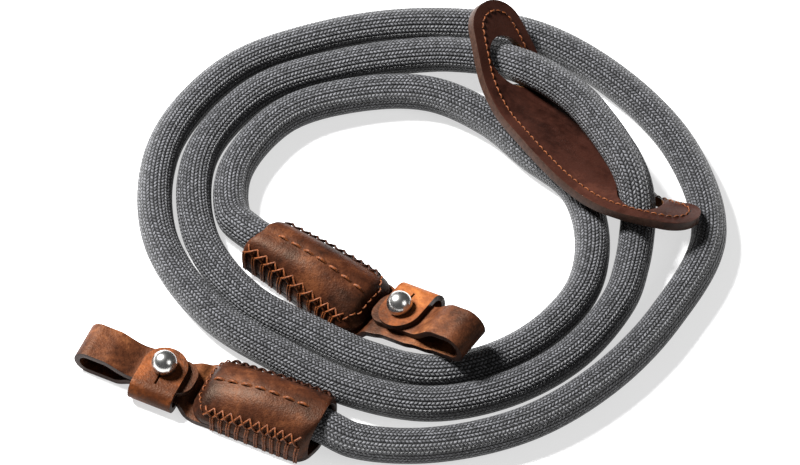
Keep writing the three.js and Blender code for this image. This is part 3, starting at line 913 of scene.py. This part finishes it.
def make_housing(prefix, end):
    matrix = housing_matrix(end)
    rows = [k / 64 for k in range(65)]
    turns = [k / 28 for k in range(-28, 29)]
    corners = []
    for along in rows:
        edge = housing_face(end, along, -1.0)
        corners.append(matrix @ Vector((edge.x, edge.y, edge.z - LIP)))
        corners.extend(matrix @ housing_face(end, along, turn) for turn in turns)
        edge = housing_face(end, along, 1.0)
        corners.append(matrix @ Vector((edge.x, edge.y, edge.z - LIP)))
    faces = grid_faces(len(rows), len(turns) + 2)
    sheet = make_object(f"{prefix}_housing_leather", corners, faces, [housing_brown, dark_edge])
    finish_leather(sheet, HOUSING_WALL, -1.0, 0.35)
    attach(sheet, "root")
    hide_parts(f"{prefix}_housing")
    return sheet


housings = {prefix: make_housing(prefix, end) for prefix, end in ENDS.items()}
print("housing faces", {prefix: len(housing.data.polygons) for prefix, housing in housings.items()})

# %% [markdown]
# The neck pad is a leaf of thick leather, bent where the rope lifts it. Its middle line is given by
# a few sections, each with how far it leans and how much it is arched. The outline is worked out
# from its length, its width and the radius of its tips.

# %% Neck pad surface
PAD_THICKNESS = 2.6
PAD_WIDTH = 26.0
PAD_TIP_RADIUS = 9.0
PAD_HOLE_RADIUS = 6.4
PAD_HOLE_INSET = 17.6
PAD_SECTIONS = [
    {"place": (25.1, 65.0, 22.1), "across": 36, "drop": 23, "arch": 0},
    {"place": (29.2, 54.9, 16.7), "across": 36, "drop": 23, "arch": 0},
    {"place": (32.5, 46.6, 12.2), "across": 36, "drop": 23, "arch": 0},
    {"place": (37.2, 38.1, 10.0), "across": 36, "drop": 23, "arch": 0},
    {"place": (43.1, 29.8, 10.3), "across": 36, "drop": 23, "arch": 0},
    {"place": (49.0, 21.5, 10.7), "across": 36, "drop": 23, "arch": 0},
    {"place": (55.1, 13.7, 11.0), "across": 37, "drop": 23, "arch": 2},
    {"place": (61.5, 6.9, 11.9), "across": 40, "drop": 26, "arch": 10},
    {"place": (67.8, 2.4, 13.4), "across": 48, "drop": 32, "arch": 24},
    {"place": (75.6, -1.7, 14.5), "across": 58, "drop": 32, "arch": 14},
    {"place": (83.7, -4.7, 14.4), "across": 65, "drop": 28, "arch": 2},
]
PER_SECTION = 24
pad_line = smooth_curve([section["place"] for section in PAD_SECTIONS], PER_SECTION)
pad_lengths = lengths_along(pad_line)
PAD_LENGTH = pad_lengths[-1]


def leaf_half_width(along):
    reach = PAD_LENGTH / 2 - PAD_TIP_RADIUS
    half = PAD_WIDTH / 2
    side_radius = (reach ** 2 + half ** 2 - PAD_TIP_RADIUS ** 2) / (2 * (half - PAD_TIP_RADIUS))
    tangent = side_radius * reach / (side_radius - PAD_TIP_RADIUS)
    u = abs(along - PAD_LENGTH / 2)
    if u <= tangent:
        return math.sqrt(side_radius ** 2 - u ** 2) - (side_radius - half)
    return math.sqrt(max(PAD_TIP_RADIUS ** 2 - (u - reach) ** 2, 0.6))


def pad_place(fraction):
    wanted = fraction * PAD_LENGTH
    index = 0
    while index + 2 < len(pad_lengths) and pad_lengths[index + 1] < wanted:
        index += 1
    share = (wanted - pad_lengths[index]) / (pad_lengths[index + 1] - pad_lengths[index])
    point = pad_line[index].lerp(pad_line[index + 1], share)
    tangent = (pad_line[index + 1] - pad_line[index]).normalized()
    place = (index + share) / PER_SECTION
    lower = min(int(place), len(PAD_SECTIONS) - 2)
    here, ahead = PAD_SECTIONS[lower], PAD_SECTIONS[lower + 1]
    angles = [math.radians(mix(here[key], ahead[key], place - lower)) for key in ("across", "drop", "arch")]
    return point, tangent, *angles


def pad_point(fraction, side, depth):
    point, tangent, bearing, drop, arch = pad_place(fraction)
    level = math.cos(drop)
    across = Vector((math.cos(bearing) * level, math.sin(bearing) * level, -math.sin(drop)))
    up = tangent.cross(across).normalized()
    half = leaf_half_width(fraction * PAD_LENGTH)
    turn = arch * side
    sideways = half * side if arch < 1e-3 else half / arch * math.sin(turn)
    sag = 0.0 if arch < 1e-3 else half / arch * (1 - math.cos(turn))
    normal = up * math.cos(turn) + across * math.sin(turn)
    return point + LAYOUT_SHIFT + across * sideways - up * sag - normal * depth


# %% [markdown]
# The pad's two holes are cut along the rope, and so is the shallow groove that the rope presses
# into the leather beside them. The cutters carry the raw colour of hide inside, and Boolean passes
# that on to the walls that it cuts.

# %% Neck pad
PAD_ROWS = 120
PAD_COLUMNS = 30
GROOVE_REACH = 200          # steps of the rope's curve to each side of the pad's middle


def nearest_step(point):
    return min(range(1, len(rope_curve) - 1), key=lambda i: (rope_curve[i] - point).length)


def rope_direction_near(point):
    nearest = nearest_step(point)
    return (rope_curve[nearest + 1] - rope_curve[nearest - 1]).normalized()


def rope_cutter(radius, sides=40):
    middle = nearest_step(Vector(OVER_THE_PAD[6]) + LAYOUT_SHIFT)
    stretch = rope_curve[middle - GROOVE_REACH:middle + GROOVE_REACH:2]
    corners = sweep_rings(stretch, radius, sides)
    cutter = make_object("groove", corners, capped_tube_faces(len(stretch), sides), [raw_edge], smooth=False)
    face_outward(cutter)
    return cutter


def make_neck_pad():
    fractions = [(1 - math.cos(math.pi * r / PAD_ROWS)) / 2 for r in range(PAD_ROWS + 1)]
    sides = [2 * c / PAD_COLUMNS - 1 for c in range(PAD_COLUMNS + 1)]
    corners = [pad_point(fraction, side, 0.0) for fraction in fractions for side in sides]
    faces = grid_faces(PAD_ROWS + 1, PAD_COLUMNS + 1)
    sheet = make_object("neck_pad_leather", corners, faces, [pad_brown, pad_edge])
    cutters = [rope_cutter(ROPE_RADIUS + AIR)]
    for fraction in (PAD_HOLE_INSET / PAD_LENGTH, 1 - PAD_HOLE_INSET / PAD_LENGTH):
        centre = pad_point(fraction, 0.0, PAD_THICKNESS / 2)
        turned = rope_direction_near(centre).to_track_quat("Z", "Y").to_matrix().to_4x4()
        place = Matrix.Translation(centre) @ turned
        cutters.append(round_cutter("hole", place, PAD_HOLE_RADIUS, 6 * PAD_THICKNESS))
    finish_leather(sheet, PAD_THICKNESS, -1.0, 0.5, cutters)
    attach(sheet, "root")
    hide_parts("neck_pad")
    return sheet


neck_pad = make_neck_pad()
print("pad length", round(PAD_LENGTH, 1), "mm, faces", len(neck_pad.data.polygons))

# %% [markdown]
# Stitches repeat along a path, so Geometry Nodes make them. The path is a chain of points, each with
# an attribute that says which way is up from the leather. The tree spaces points evenly along it,
# and puts a short arched thread on each, turned along the path and upright on the leather. The tree
# ends by making the copies real, because an exported file holds no instances, and gives them their
# finish. A second kind of tree comes later, so helpers do what the two have in common.

# %% Running stitch tree
def tree_socket(tree, name, kind, way="INPUT", default=None):
    socket = tree.interface.new_socket(name=name, in_out=way, socket_type=kind)
    if default is not None:
        socket.default_value = default
    return socket


def start_tree(name, **sizes):
    # sizes: the default of each size that the tree asks for, in millimetres
    tree = bpy.data.node_groups.new(name, "GeometryNodeTree")
    tree_socket(tree, "Geometry", "NodeSocketGeometry", "OUTPUT")
    tree_socket(tree, "Geometry", "NodeSocketGeometry")
    for key, value in sizes.items():
        tree_socket(tree, key.capitalize(), "NodeSocketFloat", default=value * MM)
    tree_socket(tree, "Material", "NodeSocketMaterial")
    return tree, add_node(tree, "NodeGroupInput").outputs


def round_thread(tree, curve, radius):
    section = add_node(tree, "GeometryNodeCurvePrimitiveCircle", {"Resolution": 8, "Radius": radius})
    parts = {"Curve": curve, "Profile Curve": section.outputs[0], "Fill Caps": True}
    return add_node(tree, "GeometryNodeCurveToMesh", parts).outputs[0]


def finish_tree(tree, geometry, material):
    real = add_node(tree, "GeometryNodeRealizeInstances", {"Geometry": geometry})
    coloured = add_node(tree, "GeometryNodeSetMaterial", {"Geometry": real.outputs[0], "Material": material})
    add_node(tree, "NodeGroupOutput", {"Geometry": coloured.outputs[0]})


def running_stitch_tree():
    tree, given = start_tree("running_stitch", pitch=3.0, stitch=2.3, lift=0.3, thread=0.35)
    chain = add_node(tree, "GeometryNodeMeshToCurve", {"Mesh": given["Geometry"]})
    spacing = {"Curve": chain.outputs[0], "Length": given["Pitch"]}
    even = add_node(tree, "GeometryNodeResampleCurve", spacing, mode="LENGTH")

    half = calc(tree, "MULTIPLY", given["Stitch"], 0.5)
    start = add_node(tree, "ShaderNodeCombineXYZ", {0: calc(tree, "MULTIPLY", half, -1.0)}).outputs[0]
    stop = add_node(tree, "ShaderNodeCombineXYZ", {0: half}).outputs[0]
    line = add_node(tree, "GeometryNodeCurvePrimitiveLine", {"Start": start, "End": stop})
    bent = add_node(tree, "GeometryNodeResampleCurve", {"Curve": line.outputs[0], "Count": 7})
    place = add_node(tree, "GeometryNodeInputPosition")
    along = add_node(tree, "ShaderNodeSeparateXYZ", {0: place.outputs[0]}).outputs[0]
    share = calc(tree, "DIVIDE", along, half)
    arch = calc(tree, "SUBTRACT", 1.0, calc(tree, "MULTIPLY", share, share))
    sunk = calc(tree, "MULTIPLY", calc(tree, "SUBTRACT", arch, 0.45), given["Lift"])
    raise_by = add_node(tree, "ShaderNodeCombineXYZ", {2: sunk}).outputs[0]
    arched = add_node(tree, "GeometryNodeSetPosition", {"Geometry": bent.outputs[0], "Offset": raise_by})
    thread = round_thread(tree, arched.outputs[0], given["Thread"])

    tangent = add_node(tree, "GeometryNodeInputTangent")
    up = add_node(tree, "GeometryNodeInputNamedAttribute", {"Name": "lift_way"}, data_type="FLOAT_VECTOR")
    turned = add_node(tree, "FunctionNodeAxesToRotation", {0: up.outputs[0], 1: tangent.outputs[0]})
    turned.primary_axis = "Z"
    turned.secondary_axis = "X"
    copies = {"Points": even.outputs[0], "Instance": thread, "Rotation": turned.outputs[0]}
    placed = add_node(tree, "GeometryNodeInstanceOnPoints", copies)
    finish_tree(tree, placed.outputs[0], given["Material"])
    return tree


stitch_tree = running_stitch_tree()

# %% [markdown]
# A second tree makes threads that don't repeat evenly, such as those that are whipped over an edge.
# Its input is a set of loose chains of points, and it sweeps a round section along each.

# %% Whipped thread tree
def thread_tree():
    tree, given = start_tree("whipped_thread", thread=0.3)
    chain = add_node(tree, "GeometryNodeMeshToCurve", {"Mesh": given["Geometry"]})
    even = add_node(tree, "GeometryNodeResampleCurve", {"Curve": chain.outputs[0], "Count": 12})
    finish_tree(tree, round_thread(tree, even.outputs[0], given["Thread"]), given["Material"])
    return tree


whip_tree = thread_tree()


def sew(name, chains, tree, slot, material, **sizes):
    # chains: lists of (point, way up) pairs in millimetres
    corners, edges, ways = [], [], []
    for chain in chains:
        first = len(corners)
        corners.extend(point for point, way in chain)
        ways.extend(way for point, way in chain)
        edges.extend((first + k, first + k + 1) for k in range(len(chain) - 1))
    thread = make_object(name, corners, [], edges=edges, smooth=False)
    attribute = thread.data.attributes.new("lift_way", "FLOAT_VECTOR", "POINT")
    for index, way in enumerate(ways):
        attribute.data[index].vector = way
    modifier = thread.modifiers.new("stitches", "NODES")
    modifier.node_group = tree
    values = {key.capitalize(): value * MM for key, value in sizes.items()}
    for item in tree.interface.items_tree:
        if item.in_out == "INPUT" and item.name in values:
            modifier[item.identifier] = values[item.name]
        if item.in_out == "INPUT" and item.name == "Material":
            modifier[item.identifier] = material
    plain = bpy.data.meshes.new_from_object(thread.evaluated_get(bpy.context.evaluated_depsgraph_get()))
    thread.modifiers.clear()
    thread.data = plain
    plain.shade_smooth()
    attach(thread, "root")


# %% [markdown]
# The pad's stitches follow its edge, a little inside it, all the way round.

# %% Pad stitches
PAD_STITCH_INSET = 3.3
PAD_STITCH_LIFT = 0.12


def pad_stitch_path():
    chain = []
    inset = PAD_STITCH_INSET / PAD_LENGTH
    inner_radius = PAD_TIP_RADIUS - PAD_STITCH_INSET
    count = 110
    for side_sign in (-1, 1):
        steps = range(count + 1) if side_sign < 0 else range(count, -1, -1)
        for k in steps:
            fraction = mix(inset, 1 - inset, (1 - math.cos(math.pi * k / count)) / 2)
            half = leaf_half_width(fraction * PAD_LENGTH)
            from_tip = min(fraction, 1 - fraction) * PAD_LENGTH
            if from_tip < PAD_TIP_RADIUS:
                reach = math.sqrt(max(inner_radius ** 2 - (PAD_TIP_RADIUS - from_tip) ** 2, 0.0))
            else:
                reach = half - PAD_STITCH_INSET
            side = side_sign * reach / half
            point = pad_point(fraction, side, 0.0)
            way = (pad_point(fraction, side, -1.0) - point).normalized()
            chain.append((point + way * PAD_STITCH_LIFT, way))
    return chain


sew(
    "pad_stitches", [pad_stitch_path()], stitch_tree, "pad_leather", orange_thread,
    pitch=2.15, stitch=1.55, lift=0.34, thread=0.21,
)

# %% [markdown]
# Each housing has a row of long stitches down its middle, which holds the rope, and a row of short
# ones along its flange. The two long sides are cross-stitched over the edge: threads cross from hole
# to hole on the shoulder, and each also wraps down the side to the underside of the base.

# %% Housing stitches
def on_housing(end, along, turn, lift):
    matrix = housing_matrix(end)
    normal = housing_normal(end, along, turn)
    if normal.z < 0:
        normal = -normal
    return matrix @ (housing_face(end, along, turn) + normal * lift), (matrix.to_3x3() @ normal).normalized()


def middle_row(end):
    return [on_housing(end, mix(0.17, 0.86, k / 24), 0.0, 0.10) for k in range(25)]


def flange_row(end):
    chain = []
    for k in range(41):
        angle = mix(-1.0, 1.0, k / 40)
        along = mix(0.955, 0.90, max(abs(angle) - 0.55, 0.0) / 0.45)
        chain.append(on_housing(end, along, angle * 0.62, 0.15))
    return chain


WHIP_COUNT = 11
WHIP_HOLES = 0.56, 0.76     # how far round each side the inner and the outer row of holes lie
WHIP_OFFSETS = [0.3 * math.sin(7.3 * k) for k in range(WHIP_COUNT + 2)]   # no hand-sewn hole is quite even


def whipped_side(end, side):
    matrix = housing_matrix(end)
    chains = []
    inner, outer = (hole * side for hole in WHIP_HOLES)
    places = [
        mix(0.05, 0.88, k / WHIP_COUNT) + WHIP_OFFSETS[k] / HOUSING_LENGTH for k in range(WHIP_COUNT + 1)
    ]
    for index, (here, ahead) in enumerate(zip(places, places[1:])):
        for layer, (first, second) in enumerate(((inner, outer), (outer, inner))):
            chain = []
            for k in range(9):
                share = k / 8
                lift = -0.10 + (0.62 + 0.25 * layer) * math.sin(math.pi * share)
                along = mix(here, ahead, share)
                chain.append(on_housing(end, along, mix(first, second, share), lift))
            chains.append(chain)
        for offset in (-0.32, 0.32):
            along = here + offset / HOUSING_LENGTH
            slant = WHIP_OFFSETS[index + 1] / HOUSING_LENGTH
            chain = []
            for k in range(6):
                turn = mix(outer, 0.995 * side, k / 5)
                chain.append(on_housing(end, along + slant * k / 5, turn, 0.24))
            edge = housing_face(end, along + slant, side)
            for drop in (0.5, 1.7, 2.6, 3.0):
                place = edge + Vector((0, side * 0.25, -drop))
                chain.append((matrix @ place, matrix.to_3x3() @ Vector((0, side, 0))))
            chains.append(chain)
    return chains


for prefix, end in ENDS.items():
    sew(
        f"{prefix}_middle_stitches", [middle_row(end)], stitch_tree, "strap_leather", orange_thread,
        pitch=4.0, stitch=3.0, lift=0.8, thread=0.42,
    )
    sew(
        f"{prefix}_flange_stitches", [flange_row(end)], stitch_tree, "strap_leather", orange_thread,
        pitch=2.2, stitch=1.6, lift=0.5, thread=0.24,
    )
    sew(
        f"{prefix}_near_whipping", whipped_side(end, end["near"]), whip_tree, "strap_leather", orange_thread,
        thread=0.30,
    )
    sew(
        f"{prefix}_far_whipping", whipped_side(end, -end["near"]), whip_tree, "strap_leather", dark_thread,
        thread=0.33,
    )
sewn = [piece.name for piece in bpy.data.objects if piece.name.endswith(("stitches", "whipping"))]
print("stitched pieces:", ", ".join(sewn))
